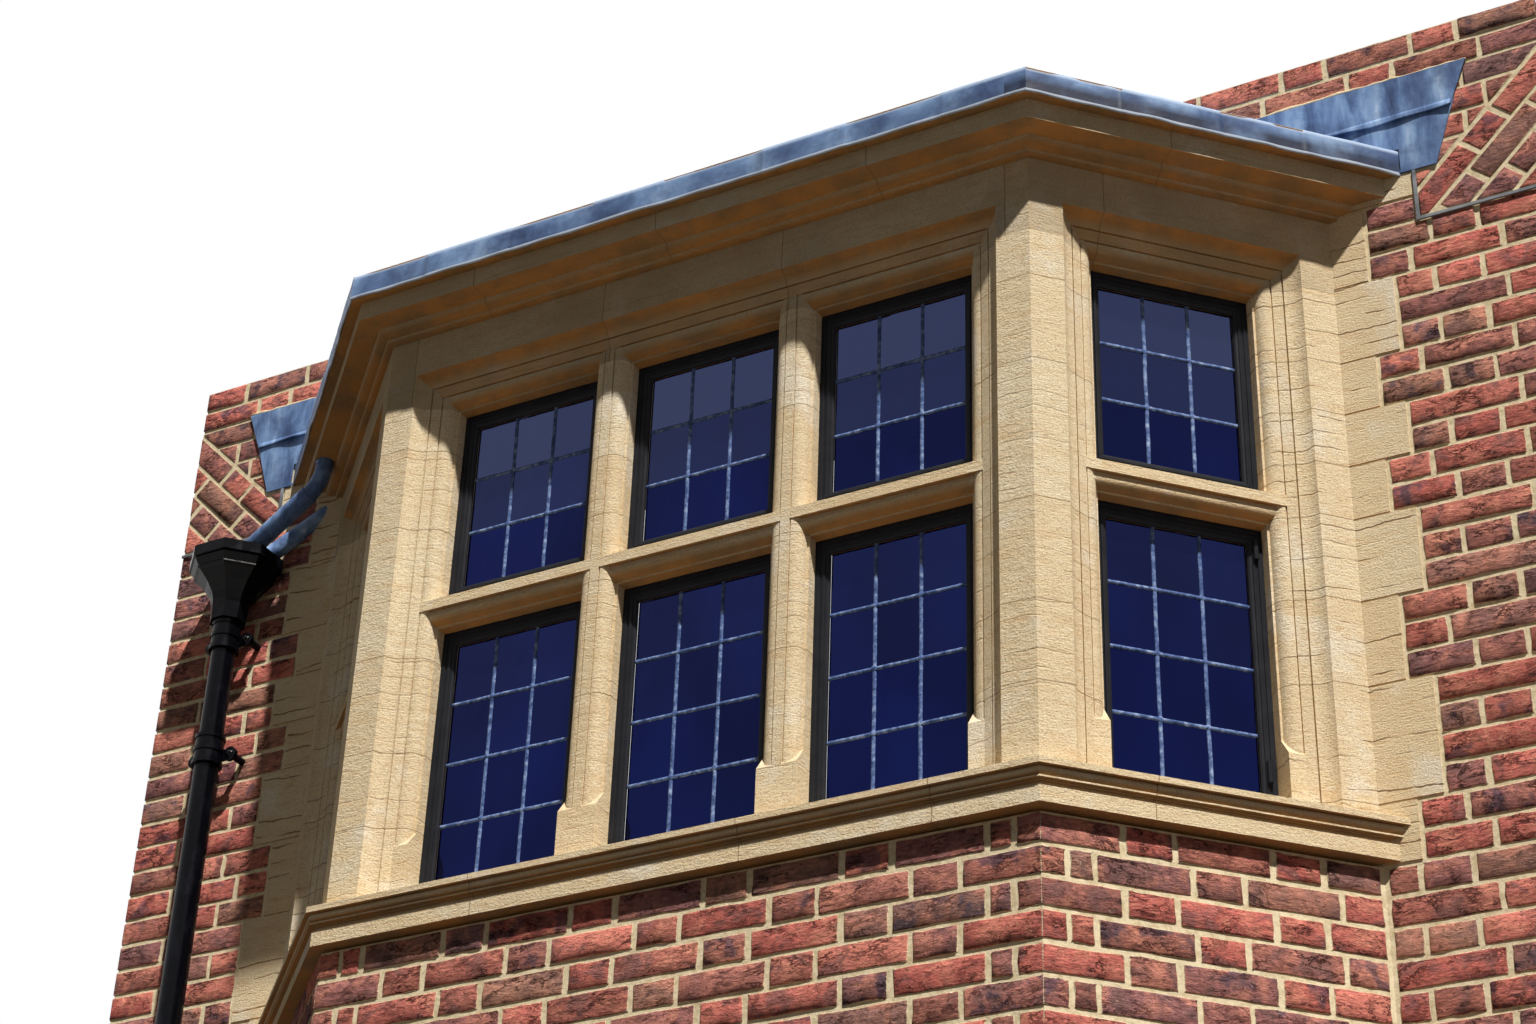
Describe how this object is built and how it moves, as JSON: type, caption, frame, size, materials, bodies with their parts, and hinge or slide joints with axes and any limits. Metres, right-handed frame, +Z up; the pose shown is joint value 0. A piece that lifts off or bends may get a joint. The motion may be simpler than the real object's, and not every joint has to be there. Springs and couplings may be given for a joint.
{
  "type": "canted bay window",
  "caption": "Canted bay window in moulded honey-coloured stone with leaded lights, on a brick apron, with stone quoins, moulded cornice and lead roof",
  "frame": {"origin": "Middle of the base's width, on the ground plane, in the plane of the house wall's outer face", "axes": "+X along the house wall to the right as seen from outside, +Y into the house, +Z up; the bay stands out towards -Y"},
  "size_m": [4.2004, 1.0472, 3.225],
  "materials": {
    "brickwork": "rough red brick in cream mortar",
    "moulded_stone": "honey-coloured dressed stone",
    "concrete": "rough",
    "lead_sheet": "weathered lead sheet",
    "deck_boards": "sawn softwood",
    "black_iron": "gloss black paint",
    "grey_pipe": "weathered grey",
    "window_metal": "charcoal paint",
    "leaded_glass": "blue glass in lead cames",
    "damp_lead": "dull",
    "plaster": "matt white plaster"
  },
  "bodies": {
    "root": {"apron_front": "brickwork", "apron_left": "brickwork", "apron_right": "brickwork", "house_wall_left": "brickwork", "house_wall_right": "brickwork", "house_wall_over": "brickwork", "lintel_beam": "concrete", "floor": "concrete", "quoins_left": "moulded_stone", "quoins_right": "moulded_stone", "sill_front": "moulded_stone", "sill_left": "moulded_stone", "sill_right": "moulded_stone", "corner_pier_left": "moulded_stone", "corner_pier_right": "moulded_stone", "wall_jamb_left": "moulded_stone", "wall_jamb_right": "moulded_stone", "mullion_left": "moulded_stone", "mullion_right": "moulded_stone", "transom_front": "moulded_stone", "transom_left": "moulded_stone", "transom_right": "moulded_stone", "head_front": "moulded_stone", "head_left": "moulded_stone", "head_right": "moulded_stone", "cornice_front": "moulded_stone", "cornice_left": "moulded_stone", "cornice_right": "moulded_stone", "roof_deck": "deck_boards", "lead_roof": "lead_sheet", "cover_flashing": "lead_sheet", "side_flashings": "lead_sheet", "damp_course": "damp_lead", "ceiling": "plaster", "frames_front_lower": "window_metal", "frames_front_upper": "window_metal", "frames_left": "window_metal", "frames_right": "window_metal", "glass_lower": "leaded_glass", "glass_upper": "leaded_glass", "outlet_pipe": "grey_pipe", "hopper_head": "black_iron", "downpipe": "black_iron", "pipe_collars": "black_iron"}
  },
  "joints": []
}
